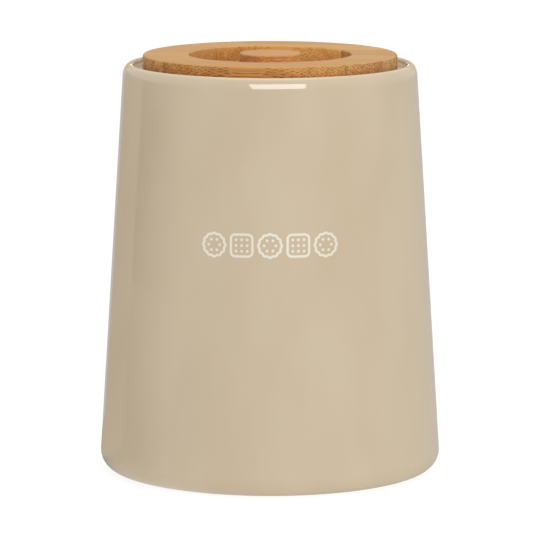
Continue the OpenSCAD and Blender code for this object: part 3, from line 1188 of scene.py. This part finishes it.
def curved_wall(profile, start, stop):
    """Corners and faces of a wall round the axis, swept from a profile of radii and heights.

    Bearings run from the camera's side round by the left.
    """
    bearings = [start + (stop - start) * panel / PANELS for panel in range(PANELS + 1)]
    corners = []
    for turn in bearings:
        corners += [(-radius * sin(turn), -radius * cos(turn), level) for radius, level in profile]
    rows = len(profile)
    firsts = [panel * rows + row for panel in range(PANELS) for row in range(rows - 1)]
    faces = [(first, first + 1, first + rows + 1, first + rows) for first in firsts]
    return corners, faces


print("curved walls have", PANELS, "panels")

# %% Flag and room on the left
FLAG_RADIUS = 0.2
FLAG_TOP = 0.21
FLAG_BOTTOM = 0.083
FLAG_BOTTOM_SOFTNESS = 0.003
FLAG_START = radians(9)
FLAG_PEAK = radians(36)
FLAG_FULL = radians(96)
FLAG_STOP = radians(99.7)
FLAG_STOP_SOFTNESS = radians(1)
ROOM_STOP = radians(137)
BOARD_RADIUS = 0.06
BOARD_LIFT = 0.3 * MM
SWEEP_GLOW = 0.57
PEAK_GLOW = 0.75
FLAG_GLOW = 0.03
BOARD_GLOW = 0.22
ROOM_GLOW = 0.47
ROOM_TINT = srgb("ffe2cf")
flag_profile = [(BOARD_RADIUS, BOARD_LIFT), (FLAG_RADIUS, BOARD_LIFT), (FLAG_RADIUS, FLAG_TOP)]
tree, shader = mirrored_piece("left_flag", *curved_wall(flag_profile, FLAG_START, ROOM_STOP))
x, y, level = split(tree, add(tree, "ShaderNodeTexCoord").outputs["Object"])
bearing = calc(tree, "ARCTAN2", calc(tree, "MULTIPLY", x, -1), calc(tree, "MULTIPLY", y, -1))
bottom_low = FLAG_BOTTOM - FLAG_BOTTOM_SOFTNESS
bottom_high = FLAG_BOTTOM + FLAG_BOTTOM_SOFTNESS
darkest = fade(tree, level, bottom_low, bottom_high, BOARD_GLOW, FLAG_GLOW)
shade = fade(tree, bearing, FLAG_START, FLAG_PEAK, SWEEP_GLOW, PEAK_GLOW)
shade = fade(tree, bearing, FLAG_PEAK, FLAG_FULL, shade, darkest)
room = fade(tree, bearing, FLAG_STOP - FLAG_STOP_SOFTNESS, FLAG_STOP + FLAG_STOP_SOFTNESS)
tree.links.new(mix(tree, room, WHITE, ROOM_TINT), shader.inputs["Emission Color"])
tree.links.new(fade(tree, room, 0, 1, shade, ROOM_GLOW), shader.inputs["Emission Strength"])
print(f"the flag ends {degrees(FLAG_STOP):.1f} degrees round and hangs {FLAG_BOTTOM / MM:.0f} mm up")

# %% Wall and cards behind
BACK_WALL = srgb("c6b495")
BACK_PLACE = 0.62
BACK_HALF_WIDTH = 0.3
BACK_TOP = 0.4
CARD_GLOW = 5
CARD_PLACE = 0.6
CARD_INNER = 0.05
CARD_OUTER = 0.064
CARD_TOP = 0.235
BELOW_RIM = 5 * MM


def upright(left, right, place, top):
    """Corners of an upright rectangle behind the canister, from just below the rim to a height."""
    bottom = rim_height - BELOW_RIM
    return [(left, place, bottom), (right, place, bottom), (right, place, top), (left, place, top)]


back_wall = upright(-BACK_HALF_WIDTH, BACK_HALF_WIDTH, BACK_PLACE, BACK_TOP)
mirrored_piece("back_wall", back_wall, [(0, 1, 2, 3)], BACK_WALL)
left_card = upright(-CARD_OUTER, -CARD_INNER, CARD_PLACE, CARD_TOP)
right_card = upright(CARD_INNER, CARD_OUTER, CARD_PLACE, CARD_TOP)
tree, shader = mirrored_piece("back_cards", left_card + right_card, [(0, 1, 2, 3), (4, 5, 6, 7)])
shader.inputs["Emission Strength"].default_value = CARD_GLOW
print(f"each card is {(CARD_OUTER - CARD_INNER) / MM:.0f} mm wide")

# %% Shield on the crest
# Only its inner side is there, so that the crest still mirrors what stands behind
SHIELD_REACH = radians(85)
SHIELD_HEIGHT = 0.12
SHIELD_LIFT = 0.2 * MM
shield_bottom = rim_height + SHIELD_LIFT
shield_top = shield_bottom + SHIELD_HEIGHT
shield_radius = rim_radius - rim_rounding_width
shield_profile = [(shield_radius, shield_bottom), (shield_radius, shield_top)]
shield = curved_wall(shield_profile, -SHIELD_REACH, SHIELD_REACH)
tree, shader = mirrored_piece("glint_shield", *shield, BACK_WALL)
tree.links.new(add(tree, "ShaderNodeNewGeometry").outputs["Backfacing"], shader.inputs["Alpha"])
print(f"the shield reaches {degrees(SHIELD_REACH):.0f} degrees to either side")

scene.view_settings.view_transform = "Standard"
